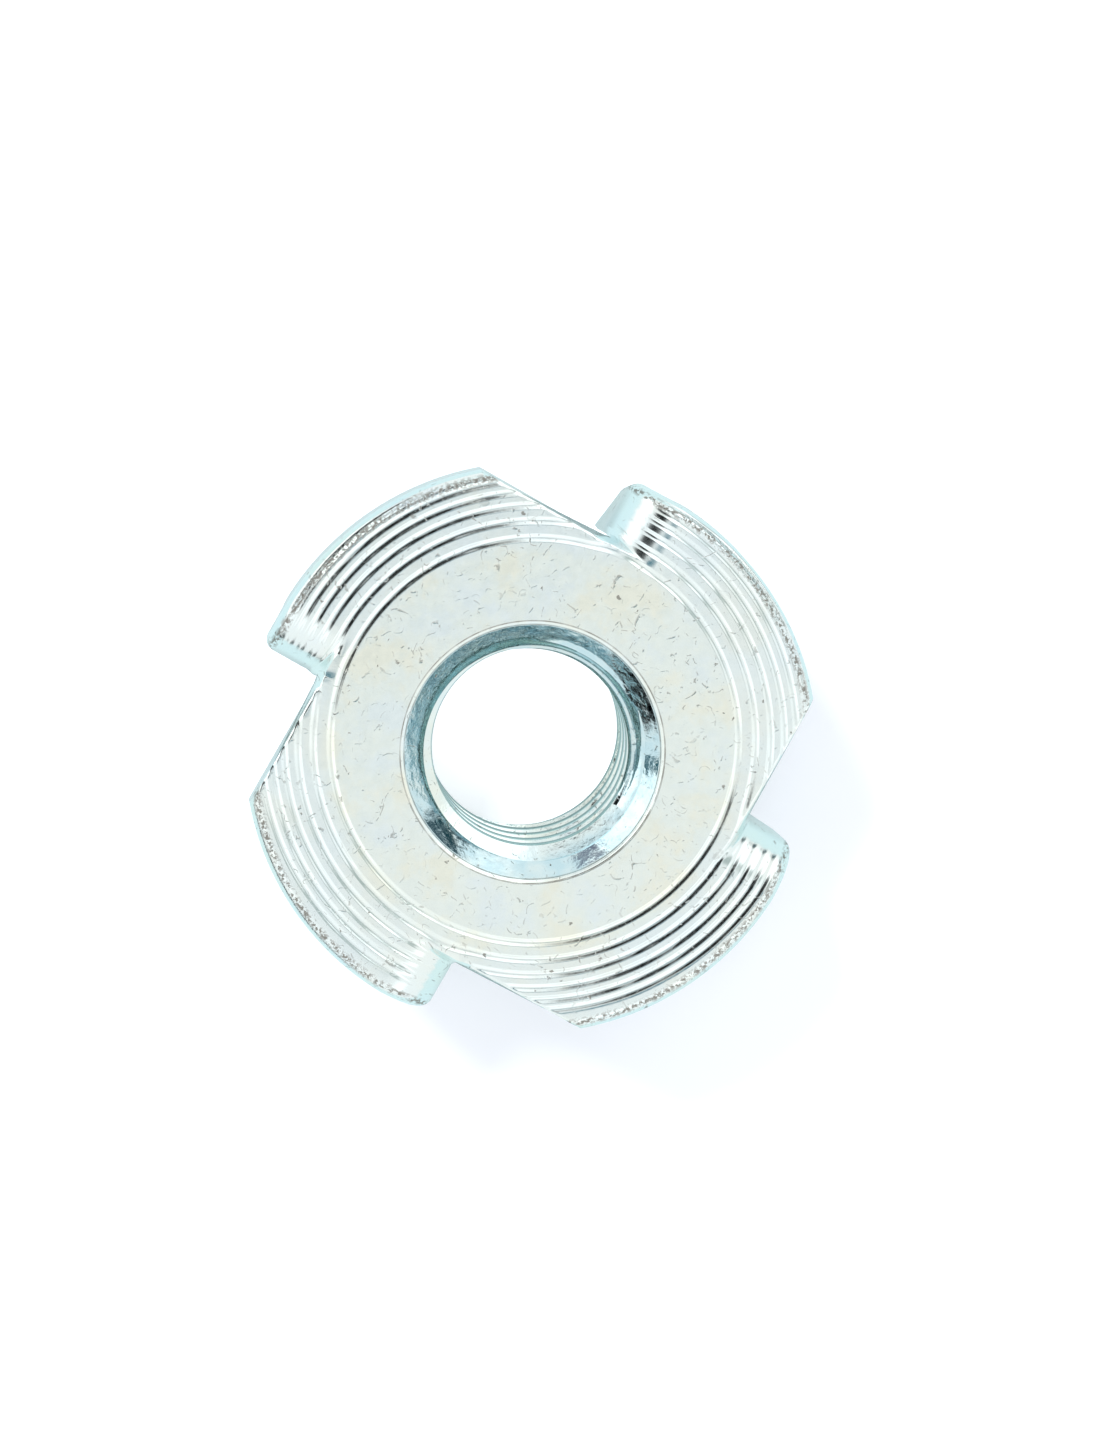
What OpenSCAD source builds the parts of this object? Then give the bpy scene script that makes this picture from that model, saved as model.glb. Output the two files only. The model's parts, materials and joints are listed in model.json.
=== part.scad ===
// Four-prong tee nut: one round blank of sheet steel, with a drawn and tapped barrel in the
// middle, tooling rings pressed into the face, and four tabs slit from the rim and folded down.
//
// Frame: millimetres. The axis of the thread is +Z. The nut stands on the open end of its
// barrel at z = 0, with the flange face uppermost, and the origin is on the axis.

/* [Thread] */
// Diameter over the crests of the M10 x 1.5 thread
crest_d = 8.6; // [8.3:0.1:8.8]
// Diameter of the mouth where it breaks into the face
mouth_d = 11.6; // [11:0.1:11.8]
// Slope of the mouth below the plane of the face, in degrees
mouth_slope = 43; // [35:1:50]
// Radial width of the coined lip round the mouth
lip_w = 0.18; // [0.1:0.02:0.3]
// Depth of the coined lip
lip_h = 0.16; // [0.08:0.02:0.2]
// Width and depth of the countersink at the barrel end
end_sink = 0.65; // [0.3:0.05:0.8]

/* [Barrel] */
// Height of the nut from the barrel end to the flange face
height = 8.2; // [8:0.1:14]
// Outside diameter of the barrel
barrel_d = 12; // [11.6:0.1:13]
// Radius drawn where the barrel meets the underside of the flange
root_r = 0.8; // [0.4:0.1:1.2]
// Outside chamfer at the barrel end
end_chamfer = 0.3; // [0.1:0.05:0.4]

/* [Flange] */
// Diameter of the round blank
flange_d = 25; // [24.5:0.1:26]
// Thickness of the sheet
sheet_t = 2; // [1.6:0.1:2.2]
// Radius left by shearing on the upper edge of the rim
edge_roll = 0.6; // [0.2:0.1:0.8]

/* [Tooling rings] */
// Number of pressed rings
ring_count = 6; // [1:1:6]
// Radius of the innermost ring
ring_r = 8.93; // [8.6:0.01:9]
// Gap between the first two rings
ring_gap = 0.75; // [0.6:0.01:0.76]
// Each gap as a share of the one inside it
ring_ratio = 0.89; // [0.8:0.01:0.9]
// Width of a ring's groove
ring_w = 0.38; // [0.2:0.02:0.4]
// Depth of a ring's groove
ring_h = 0.06; // [0.02:0.01:0.1]
// How far the rings' centre sits off the axis, along X
ring_off_x = 0.1; // [0:0.01:0.2]
// How far the rings' centre sits off the axis, along Y
ring_off_y = 0.5; // [0:0.01:0.5]

/* [Prongs] */
// Number of prongs
prong_count = 4; // [3:1:4]
// Direction of the first prong's fold line, in degrees from +X
fold_angle = 60; // [0:1:89]
// Distance from the axis to the straight slit that frees a prong
slit_r = 9.6; // [9.2:0.1:10]
// Distance of a prong's outer face from the radius that its fold line follows
prong_offset = 1.9; // [1.8:0.1:2.4]
// Inside radius of the fold
fold_r = 0.5; // [0.3:0.1:0.8]
// Depth below the flange face at which a prong's outer edge turns in towards its tip
prong_shoulder = 4.2; // [3.2:0.1:5]
// Reach of a prong's tip below the flange face
prong_reach = 6; // [5.2:0.1:7]
// Width left at a prong's tip
tip_w = 0.35; // [0.2:0.05:0.6]

/* [Hidden] */
$fn = 96;
lap = 0.5;
crest_r = crest_d / 2;
mouth_r = mouth_d / 2;
barrel_r = barrel_d / 2;
flange_r = flange_d / 2;
under_z = height - sheet_t;
mouth_h = (mouth_r - lip_w - crest_r) * tan(mouth_slope);
fold_outer_r = fold_r + sheet_t;
fold_y = prong_offset - fold_outer_r;
fold_z = height - fold_outer_r;
fold_length = (fold_r + 0.45 * sheet_t) * PI / 2;
zinc_plate = [0.84, 0.88, 0.87];

// Radius of ring i: the gaps shrink by a fixed ratio on the way out
function ring_radius(i) = ring_r + ring_gap * (1 - pow(ring_ratio, i)) / (1 - ring_ratio);

// How far out the rim of the flat blank lies, at distance y across a prong
function rim_reach(y) = sqrt(flange_r * flange_r - y * y);

// Half section of a sheet from r = 0 to r_out, z = 0 to sheet_t, with its upper corner rolled
module rolled_sheet(r_out) {
    square([r_out - edge_roll, sheet_t]);
    square([r_out, sheet_t - edge_roll]);
    translate([r_out - edge_roll, sheet_t - edge_roll]) circle(edge_roll);
}

// Half section of the barrel, with the drawn radius under the flange
module barrel_section() {
    polygon([
        [0, 0],
        [barrel_r - end_chamfer, 0],
        [barrel_r, end_chamfer],
        [barrel_r, under_z + lap],
        [0, under_z + lap]
    ]);
    difference() {
        translate([barrel_r - lap, under_z - root_r]) square([root_r + lap, root_r + lap]);
        translate([barrel_r + root_r, under_z - root_r]) circle(root_r);
    }
}

// Half section of everything that is open on the axis: end countersink, thread, mouth and lip
module bore_section() {
    polygon([
        [-lap, -lap],
        [crest_r + end_sink + lap, -lap],
        [crest_r, end_sink],
        [crest_r, height - lip_h - mouth_h],
        [mouth_r - lip_w, height - lip_h],
        [mouth_r, height],
        [mouth_r, height + lap],
        [-lap, height + lap]
    ]);
}

// The blank with its barrel, before the tabs are freed
module drawn_blank() {
    rotate_extrude() intersection() {
        difference() {
            union() {
                translate([0, under_z]) rolled_sheet(flange_r);
                barrel_section();
            }
            bore_section();
        }
        square([flange_r + lap, height + lap]);
    }
}

// V-shaped grooves that the tool's rings press into the face
module tooling_rings() {
    translate([ring_off_x, ring_off_y, height])
        for (i = [0 : ring_count - 1])
            rotate_extrude() translate([ring_radius(i), 0]) polygon([
                [0, -ring_h],
                [ring_w, ring_h],
                [-ring_w, ring_h]
            ]);
}

// Repeats its children at each prong, with X along the fold line and Y out of the prong's face
module at_prongs() {
    for (i = [0 : prong_count - 1])
        rotate([0, 0, fold_angle + i * 360 / prong_count]) children();
}

// What is slit and lifted out of the flange to free one tab
module tab_gap() {
    translate([slit_r, fold_y, under_z - lap])
        cube([flange_r, flange_r, sheet_t + 2 * lap]);
}

// Side outline of a prong, fold included: a straight slit edge, and an outer edge that follows
// the blank's rim down to the shoulder and slants in from there to the tip
module prong_outline() {
    polygon([
        [slit_r, height],
        [slit_r, height - prong_reach],
        [slit_r + tip_w, height - prong_reach],
        [rim_reach(fold_y + fold_length + prong_shoulder - fold_outer_r), height - prong_shoulder],
        [rim_reach(fold_y + fold_length), height - fold_outer_r],
        [rim_reach(fold_y), height]
    ]);
}

// The quarter turn of sheet between the flange and a prong
module fold() {
    translate([0, fold_y, fold_z]) rotate([0, 90, 0])
        rotate_extrude(angle = 90, start = 90)
            translate([fold_r, slit_r]) square([sheet_t, flange_r - slit_r]);
}

// The flat blade of a prong
module blade() {
    translate([slit_r, fold_y + fold_r, height - prong_reach])
        cube([flange_r - slit_r, sheet_t, prong_reach - fold_outer_r]);
}

module prong() {
    intersection() {
        union() {
            fold();
            blade();
        }
        translate([0, flange_r, 0]) rotate([90, 0, 0])
            linear_extrude(height = 2 * flange_r) prong_outline();
    }
}

module tee_nut() {
    color(zinc_plate) {
        difference() {
            drawn_blank();
            at_prongs() tab_gap();
            tooling_rings();
        }
        at_prongs() prong();
    }
}

tee_nut();
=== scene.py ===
"""Looks of a four-prong tee nut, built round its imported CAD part.

One pressed steel piece: a spun blank with a drawn barrel, tooling rings pressed into its face,
a tapped thread, and four prongs lanced from its rim and folded down. All lengths in the classes
are in millimetres, and places in Blender are in metres, in the row frame.
"""

import json  # noqa: E402
import logging  # noqa: E402
import math  # noqa: E402
from dataclasses import dataclass  # noqa: E402
from enum import Enum  # noqa: E402
from typing import Any, Callable  # noqa: E402

import bpy  # noqa: E402
import numpy as np  # noqa: E402
from mathutils import Matrix, Vector  # noqa: E402


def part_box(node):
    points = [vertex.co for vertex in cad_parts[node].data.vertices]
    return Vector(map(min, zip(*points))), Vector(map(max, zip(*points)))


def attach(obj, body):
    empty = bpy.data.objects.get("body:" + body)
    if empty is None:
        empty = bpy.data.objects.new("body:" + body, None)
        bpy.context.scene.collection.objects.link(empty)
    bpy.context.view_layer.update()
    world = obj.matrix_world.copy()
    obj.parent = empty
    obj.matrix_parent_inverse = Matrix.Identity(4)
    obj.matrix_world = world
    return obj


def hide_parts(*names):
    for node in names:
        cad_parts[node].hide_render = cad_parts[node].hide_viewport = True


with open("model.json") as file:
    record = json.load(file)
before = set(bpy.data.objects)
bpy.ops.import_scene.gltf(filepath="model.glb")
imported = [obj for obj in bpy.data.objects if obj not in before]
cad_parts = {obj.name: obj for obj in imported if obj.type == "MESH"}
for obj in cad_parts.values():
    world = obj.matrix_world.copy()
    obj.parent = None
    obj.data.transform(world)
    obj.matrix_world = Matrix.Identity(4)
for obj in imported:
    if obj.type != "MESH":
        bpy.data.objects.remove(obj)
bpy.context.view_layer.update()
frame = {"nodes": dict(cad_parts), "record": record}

log = logging.getLogger("tee_nut")

MM = 0.001
NODE = "tee_nut"
WELD = 3e-7
ON_EDGE = 0.0004
PLACE_ATTRIBUTE = "blank_place"

Mask = Callable[[np.ndarray], np.ndarray]
Pair = tuple[float, float]


class Side(Enum):
    """Which side of a slit a stretch of sheet belongs to."""

    FLANGE = "flange"
    TAB = "tab"


# ---------------------------------------------------------------------------------------------
# Small helpers


def linear(code: str) -> tuple[float, float, float, float]:
    """Turns an sRGB hex colour into linear RGBA.

    Args:
        code: The colour, such as "#E4EEE8".

    Returns:
        Linear red, green, blue and an alpha of 1.
    """
    parts = [int(code[i : i + 2], 16) / 255 for i in (1, 3, 5)]
    made = [p / 12.92 if p <= 0.04045 else ((p + 0.055) / 1.055) ** 2.4 for p in parts]
    return made[0], made[1], made[2], 1.0


def ease(value: np.ndarray, start: float, end: float) -> np.ndarray:
    """Eases from 0 at the start to 1 at the end, which may be the lower one, and holds both."""
    t = np.clip((value - start) / (end - start), 0.0, 1.0)
    return t * t * (3.0 - 2.0 * t)


def wobble(angle: np.ndarray, waves: range, seed: int) -> np.ndarray:
    """Gives a smooth unevenness round the axis, which is the same in each run.

    Args:
        angle: Directions round the axis, in radians.
        waves: How many times a turn each of its parts rises and falls.
        seed: Picks one pattern out of many.

    Returns:
        Values mostly between -1 and 1, one for each direction.
    """
    phases = np.random.default_rng(seed).uniform(0, 2 * math.pi, len(waves))
    parts = [np.sin(n * angle + phase) for n, phase in zip(waves, phases)]
    return np.sum(parts, axis=0) / math.sqrt(len(waves))


def read(parts: Any, name: str, width: int = 1) -> np.ndarray:
    """Reads one property of all of a mesh's vertices, edges, loops or faces.

    Args:
        parts: The mesh's vertices, edges, loops or polygons.
        name: The property, such as "co".
        width: How many numbers each of them has.

    Returns:
        One number a part, or one row a part if there are more.
    """
    kind = np.float32 if name in ("co", "center") else np.int32
    flat = np.empty(len(parts) * width, kind)
    parts.foreach_get(name, flat)
    return flat.reshape(-1, width) if width > 1 else flat


def places(piece: bpy.types.Object) -> np.ndarray:
    """Gives the places of a piece's vertices, in mm, one row each."""
    return read(piece.data.vertices, "co", 3).astype(float) / MM


def set_places(piece: bpy.types.Object, at: np.ndarray) -> None:
    """Moves a piece's vertices to new places, given in mm."""
    piece.data.vertices.foreach_set("co", (at * MM).astype(np.float32).ravel())
    piece.data.update()


def deselect_all() -> None:
    """Leaves edit mode and selects nothing."""
    if bpy.context.object and bpy.context.object.mode != "OBJECT":
        bpy.ops.object.mode_set(mode="OBJECT")
    bpy.ops.object.select_all(action="DESELECT")


def take(*pieces: bpy.types.Object) -> None:
    """Selects these pieces alone.

    Args:
        pieces: The pieces, of which the first becomes the active one.
    """
    deselect_all()
    for piece in pieces:
        piece.select_set(True)
    bpy.context.view_layer.objects.active = pieces[0]


def clear_selection(piece: bpy.types.Object) -> None:
    """Deselects every vertex, edge and face of a piece that is in object mode."""
    for part in (piece.data.vertices, piece.data.edges, piece.data.polygons):
        part.foreach_set("select", np.zeros(len(part), bool))


def edit(mode: str) -> None:
    """Goes into edit mode with one kind of element selectable: VERT, EDGE or FACE."""
    bpy.ops.object.mode_set(mode="EDIT")
    bpy.ops.mesh.select_mode(type=mode)


def open_edges(piece: bpy.types.Object) -> np.ndarray:
    """Tells which edges of a piece have only one face."""
    used = read(piece.data.loops, "edge_index")
    return np.bincount(used, minlength=len(piece.data.edges)) == 1


def pick_vertices(piece: bpy.types.Object, mask: np.ndarray) -> None:
    """Selects the masked vertices of a piece in object mode, and nothing else."""
    clear_selection(piece)
    piece.data.vertices.foreach_set("select", mask)


def pick_open_edges(piece: bpy.types.Object, test: Mask) -> None:
    """Selects the open edges whose two ends both pass a test.

    Args:
        piece: A mesh in object mode.
        test: Takes places in mm and gives one truth value a row.
    """
    passed = test(places(piece))
    ends = read(piece.data.edges, "vertices", 2)
    chosen = passed[ends].all(1) & open_edges(piece)
    touched = np.zeros(len(passed), bool)
    touched[ends[chosen].ravel()] = True
    pick_vertices(piece, touched)
    piece.data.edges.foreach_set("select", chosen)


def pick_faces(piece: bpy.types.Object, test: Mask) -> None:
    """Selects the faces whose centre passes a test.

    Args:
        piece: A mesh in object mode.
        test: Takes places in mm and gives one truth value a row.
    """
    mesh = piece.data
    chosen = test(read(mesh.polygons, "center", 3).astype(float) / MM)
    corner = read(mesh.loops, "vertex_index")
    touched = np.zeros(len(mesh.vertices), bool)
    touched[corner[np.repeat(chosen, read(mesh.polygons, "loop_total"))]] = True
    pick_vertices(piece, touched)
    mesh.polygons.foreach_set("select", chosen)


def trace(name: str, points: list[Pair]) -> bpy.types.Object:
    """Draws a closed outline in the XZ plane by extruding one vertex from point to point.

    Args:
        name: The new object's name.
        points: Radius and height of each corner, in mm.

    Returns:
        A mesh of edges alone, with its object at the origin.
    """
    deselect_all()
    start = Vector((points[0][0] * MM, 0.0, points[0][1] * MM))
    bpy.ops.mesh.primitive_plane_add(size=MM, location=start)
    piece = bpy.context.object
    piece.name = name
    edit("VERT")
    bpy.ops.mesh.select_all(action="SELECT")
    bpy.ops.mesh.merge(type="CENTER")
    for (r0, z0), (r1, z1) in zip(points, points[1:] + points[:1]):
        step = ((r1 - r0) * MM, 0.0, (z1 - z0) * MM)
        bpy.ops.mesh.extrude_region_move(TRANSFORM_OT_translate={"value": step})
    bpy.ops.mesh.select_all(action="SELECT")
    bpy.ops.mesh.remove_doubles(threshold=WELD)
    bpy.ops.object.mode_set(mode="OBJECT")
    bpy.ops.object.transform_apply(location=True, rotation=True, scale=True)
    return piece


def face_outwards(piece: bpy.types.Object) -> None:
    """Turns every face of a piece outwards.

    Args:
        piece: A closed mesh, in object mode.
    """
    take(piece)
    edit("FACE")
    bpy.ops.mesh.select_all(action="SELECT")
    bpy.ops.mesh.normals_make_consistent(inside=False)
    bpy.ops.object.mode_set(mode="OBJECT")


# ---------------------------------------------------------------------------------------------
# The pressed blank


@dataclass
class ToolingRings:
    """The six fine grooves that the press tool leaves in the face, a little off its centre.

    A ring is a shallow V with straight flanks. The rows of the mesh follow the rings, so that
    each groove keeps the same section all the way round, and it fades where a tab is folded.
    """

    count: int = 6
    first_r: float = 8.93
    first_gap: float = 0.75
    ratio: float = 0.89
    width: float = 0.35
    depth: float = 0.06
    foot: float = 0.14
    uneven: float = 0.16
    off_x: float = 0.1
    off_y: float = 0.5
    shift_from: float = 6.2
    shift_full: float = 8.4
    shift_fades: float = 11.7
    rim_gap: Pair = (0.05, 0.25)
    waves: range = range(5, 40)
    across: tuple[float, ...] = (-0.6, -0.5, -0.42, -0.25, -0.07, 0.07, 0.25, 0.42, 0.5, 0.6)

    def radius(self, i: int) -> float:
        """Gives the radius of ring i: the gaps shrink by a fixed ratio on the way out."""
        return self.first_r + self.first_gap * (1 - self.ratio**i) / (1 - self.ratio)

    def rows(self, limit: float) -> list[float]:
        """Gives the radii of the rows of mesh that shape the rings inside a limit."""
        made = [self.radius(i) + a * self.width for i in range(self.count) for a in self.across]
        return [r for r in sorted(made) if r < limit]

    def press(self, blank: bpy.types.Object, shape: "DrawnBlank", prongs: "Prongs") -> None:
        """Slides the face's rows over to the rings' centre and presses the grooves.

        Args:
            blank: The spun blank.
            shape: Its sizes.
            prongs: The prongs, in whose folds the grooves are drawn out flat.
        """
        at = places(blank)
        r = np.hypot(at[:, 0], at[:, 1])
        face = (at[:, 2] > shape.height - shape.edge_roll - 0.001) & (r > self.shift_from)
        rising = ease(r, self.shift_from, self.shift_full)
        falling = np.clip((shape.flange_r - r) / (shape.flange_r - self.shift_fades), 0, 1)
        share = np.where(face, rising * falling, 0.0)
        at[:, 0] += self.off_x * share
        at[:, 1] += self.off_y * share
        r = np.hypot(at[:, 0], at[:, 1])
        drop = shape.roll_drop(r)
        off = np.hypot(at[:, 0] - self.off_x, at[:, 1] - self.off_y)
        angle = np.arctan2(at[:, 1] - self.off_y, at[:, 0] - self.off_x)
        room = ease(shape.flange_r - r, *self.rim_gap) * prongs.unfolded(at)
        for i in range(self.count):
            across = np.abs(off - self.radius(i)) / (self.width / 2)
            share = np.clip((1 - across) / (1 - self.foot), 0, 1)
            drop += self.depth * share * room * (1 + self.uneven * wobble(angle, self.waves, i))
        at[face, 2] = shape.height - drop[face]
        set_places(blank, at)


@dataclass
class DrawnBlank:
    """The round blank with its drawn barrel and coined mouth, spun from one half section."""

    height: float
    flange_r: float
    barrel_r: float
    crest_r: float
    sheet_t: float = 2.0
    edge_roll: float = 0.6
    mouth_r: float = 5.8
    mouth_slope: float = 43.0
    lip_w: float = 0.18
    lip_h: float = 0.16
    root_r: float = 0.8
    end_chamfer: float = 0.3
    end_sink: float = 0.65
    burr: float = 0.08
    soft: float = 0.07
    end_row: float = 5.3
    plain_rows: tuple[float, ...] = (5.9, 6.2, 6.6, 7.0, 7.4, 7.8, 8.2, 8.5)
    under_rows: tuple[float, ...] = (12.0, 11.4, 10.9, 10.5, 10.2, 9.9, 9.6, 9.3, 9.0, 8.5, 7.9,
                                     7.3)
    barrel_rows: tuple[float, ...] = (4.6, 3.6, 2.6, 1.6, 0.9, 0.4)
    edge_rows: tuple[float, ...] = (1.1, 0.8, 0.5, 0.25, 0.08)
    roll_turns: tuple[int, ...] = (5, 10, 15, 20, 25, 30, 35, 40, 45, 52, 60, 68, 76, 84, 90)
    mouth_rows: tuple[float, ...] = (4.36, 4.44, 4.5, 4.56, 4.6, 4.64, 4.68, 4.76, 4.83, 4.9,
                                     5.05, 5.25, 5.45)
    ledge_r: tuple[float, ...] = (4.3, 4.36, 4.44, 4.56, 4.64, 4.9)
    ledge_sag: tuple[float, ...] = (0.0, -0.03, -0.03, 0.07, 0.07, 0.0)
    steps: int = 480
    root_steps: int = 8
    shoulder_steps: int = 8

    @classmethod
    def from_frame(cls) -> "DrawnBlank":
        """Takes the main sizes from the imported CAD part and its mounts.

        Returns:
            The blank, whose height, rim, barrel and bore are those of the part.
        """
        low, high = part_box(NODE)
        r_of = {m["name"]: m["dims"]["r_mm"] for m in frame["record"]["mounts"] if m["dims"]}
        rim = max(math.hypot(v.co.x, v.co.y) for v in frame["nodes"][NODE].data.vertices)
        return cls((high.z - low.z) / MM, rim / MM, r_of["barrel"], r_of["thread"])

    @property
    def under_z(self) -> float:
        """Height of the flange's underside."""
        return self.height - self.sheet_t

    def roll_drop(self, r: np.ndarray | float) -> np.ndarray:
        """Gives how far the rolled edge has dropped below the face at radius r."""
        inward = np.clip(np.asarray(r) - (self.flange_r - self.edge_roll), 0, self.edge_roll)
        return self.edge_roll - np.sqrt(np.maximum(self.edge_roll**2 - inward**2, 0))

    def face_rows(self, rings: ToolingRings) -> list[Pair]:
        """Gives the section's points from the lip across the face to the rolled edge.

        Args:
            rings: The rings whose rows the face follows.

        Returns:
            Radius and height of each point, in mm.
        """
        top = self.height
        lip = [(0.0, 1.0), (0.05, 0.72), (0.5, 0.38), (0.93, 0.05)]
        points = [(self.mouth_r - self.lip_w * (1 - a), top - self.lip_h * b) for a, b in lip]
        points.append((self.mouth_r, top))
        points += [(r, top) for r in [*self.plain_rows, *rings.rows(rings.shift_fades)]]
        start = self.flange_r - self.edge_roll
        last = points[-1][0]
        count = self.shoulder_steps
        points += [(last + (start - last) * i / count, top) for i in range(1, count + 1)]
        for turn in map(math.radians, self.roll_turns):
            drop = self.edge_roll * (1 - math.cos(turn))
            points.append((start + self.edge_roll * math.sin(turn), top - drop))
        return points

    def section(self, rings: ToolingRings) -> list[Pair]:
        """Gives the closed half section, from the lip outwards and back up the bore.

        Args:
            rings: The rings whose rows the face follows.

        Returns:
            Radius and height of each point, in mm.
        """
        rim, under, root = self.flange_r, self.under_z, self.barrel_r + self.root_r
        points = self.face_rows(rings) + [(rim, under + h) for h in self.edge_rows]
        points += [(rim - self.burr * 0.3, under + self.burr * 0.3), (rim - self.burr, under)]
        points += [(r, under) for r in self.under_rows]
        for i in range(self.root_steps + 1):
            turn = math.radians(90 - i * 90 / self.root_steps)
            drop = self.root_r * (1 - math.sin(turn))
            points.append((root - self.root_r * math.cos(turn), under - drop))
        points += [(self.barrel_r, z) for z in self.barrel_rows]
        soft, edge = self.soft, self.barrel_r - self.end_chamfer
        points += [(self.barrel_r - soft * 0.3, self.end_chamfer - soft * 0.2)]
        points += [(edge + soft, soft * 0.6), (edge - soft * 0.4, 0.0)]
        sink_r = self.crest_r + self.end_sink
        points += [(self.end_row, 0.0), (sink_r + soft * 0.5, 0.0)]
        points += [(sink_r - soft * 0.5, soft * 0.4)]
        points += [(self.crest_r, self.end_sink)]
        points += [(r, self.height - self.mouth_drop(r)) for r in (self.crest_r, *self.mouth_rows)]
        return points

    def mouth_drop(self, r: np.ndarray | float) -> np.ndarray | float:
        """Gives how far below the face the mouth lies, narrow ledge included.

        Args:
            r: One or more radii, in mm.

        Returns:
            The depth at each, in mm.
        """
        run = self.mouth_r - self.lip_w - r
        sag = np.interp(r, self.ledge_r, self.ledge_sag)
        return self.lip_h + run * math.tan(math.radians(self.mouth_slope)) + sag

    def build(self, rings: ToolingRings) -> bpy.types.Object:
        """Spins the half section into the blank.

        Args:
            rings: The rings whose rows the face follows.

        Returns:
            The blank, closed and with its faces outwards.
        """
        blank = trace("tee_nut_plated", self.section(rings))
        edit("VERT")
        bpy.ops.mesh.select_all(action="SELECT")
        bpy.ops.mesh.spin(steps=self.steps, angle=2 * math.pi, center=(0, 0, 0), axis=(0, 0, 1))
        bpy.ops.mesh.select_all(action="SELECT")
        bpy.ops.mesh.remove_doubles(threshold=WELD)
        bpy.ops.object.mode_set(mode="OBJECT")
        face_outwards(blank)
        log.info("blank: %d faces", len(blank.data.polygons))
        return blank


@dataclass
class TappedThread:
    """The M10 x 1.5 right-hand thread, cut by a screwed V-section cutter."""

    pitch: float = 1.5
    major_r: float = 5.0
    root_flat: float = 0.36
    flank: float = 30.0
    clear: float = 0.06
    crest_ease_r: float = 4.36
    crest_ease: float = 62.0
    below: float = 1.6
    steps: int = 120
    run_out: float = 20.0
    step_rows: tuple[float, ...] = (4.64, 4.68, 4.76, 4.83, 4.9)
    step_lift: tuple[float, ...] = (0.0, 0.06, 0.11, 0.06, 0.0)
    step_sweep: float = 72.0

    def start_angle(self, shape: DrawnBlank) -> float:
        """Gives where the cutter starts for the thread to run out where it should.

        Args:
            shape: The sizes of the blank, whose mouth the thread runs out into.

        Returns:
            The direction of the cutter's lower end, in degrees.
        """
        top = shape.height - shape.mouth_drop(self.major_r) + self.root_flat / 2
        turns = (top + self.below) / self.pitch
        return self.run_out - 360 * (turns % 1)

    def mark_run_out(self, blank: bpy.types.Object, shape: DrawnBlank) -> None:
        """Leaves the thin crescent step on the mouth that follows where the thread runs out.

        Args:
            blank: The spun blank.
            shape: Its sizes.
        """
        at = places(blank)
        r = np.hypot(at[:, 0], at[:, 1])
        cone = np.abs(at[:, 2] - shape.height + shape.mouth_drop(r)) < 5 * ON_EDGE
        turned = np.degrees(np.arctan2(at[:, 1], at[:, 0])) - self.run_out
        along = np.clip(turned / self.step_sweep, 0, 1)
        rise = np.interp(r, self.step_rows, self.step_lift, 0.0, 0.0) * np.sin(along * math.pi)
        at[:, 2] += np.where(cone, rise, 0.0)
        set_places(blank, at)

    def cutter(self, shape: DrawnBlank) -> bpy.types.Object:
        """Makes the cutter, a closed helical bar longer than the nut.

        Args:
            shape: The sizes of the blank that it cuts.

        Returns:
            The cutter, with its faces outwards.
        """
        inner = shape.crest_r - self.clear
        half = self.root_flat / 2
        slope = math.tan(math.radians(self.flank))
        wide = half + (self.major_r - inner) * slope
        eased = half + (self.major_r - self.crest_ease_r) * slope
        foot = eased + (self.crest_ease_r - inner) * math.tan(math.radians(self.crest_ease))
        corners = [(inner, -foot), (self.crest_ease_r, -eased), (self.major_r, -half),
                   (self.major_r, half), (inner, wide)]
        piece = trace("thread_cutter", [(r, z - self.below) for r, z in corners])
        screw = piece.modifiers.new("turns", "SCREW")
        screw.axis = "Z"
        screw.angle = 2 * math.pi
        screw.screw_offset = self.pitch * MM
        screw.iterations = math.ceil((shape.height + 2 * self.below) / self.pitch)
        screw.steps = self.steps
        screw.render_steps = self.steps
        screw.use_merge_vertices = False
        take(piece)
        bpy.ops.object.modifier_apply(modifier=screw.name)
        edit("VERT")
        bpy.ops.mesh.select_all(action="SELECT")
        bpy.ops.mesh.remove_doubles(threshold=WELD)
        bpy.ops.mesh.select_all(action="DESELECT")
        bpy.ops.mesh.select_non_manifold()
        bpy.ops.mesh.fill_holes(sides=0)
        bpy.ops.object.mode_set(mode="OBJECT")
        a = math.radians(self.start_angle(shape))
        turn = ((math.cos(a), math.sin(a), 0), (-math.sin(a), math.cos(a), 0), (0, 0, 1))
        set_places(piece, places(piece) @ np.array(turn))
        face_outwards(piece)
        return piece

    def tap(self, blank: bpy.types.Object, shape: DrawnBlank) -> None:
        """Cuts the thread in the blank's bore.

        Args:
            blank: The spun blank.
            shape: Its sizes.
        """
        tool = self.cutter(shape)
        cut = blank.modifiers.new("thread", "BOOLEAN")
        cut.operation = "DIFFERENCE"
        cut.solver = "EXACT"
        cut.object = tool
        take(blank)
        bpy.ops.object.modifier_apply(modifier=cut.name)
        bpy.data.objects.remove(tool)
        log.info("thread: blank has %d faces", len(blank.data.polygons))


# ---------------------------------------------------------------------------------------------
# The prongs


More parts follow.
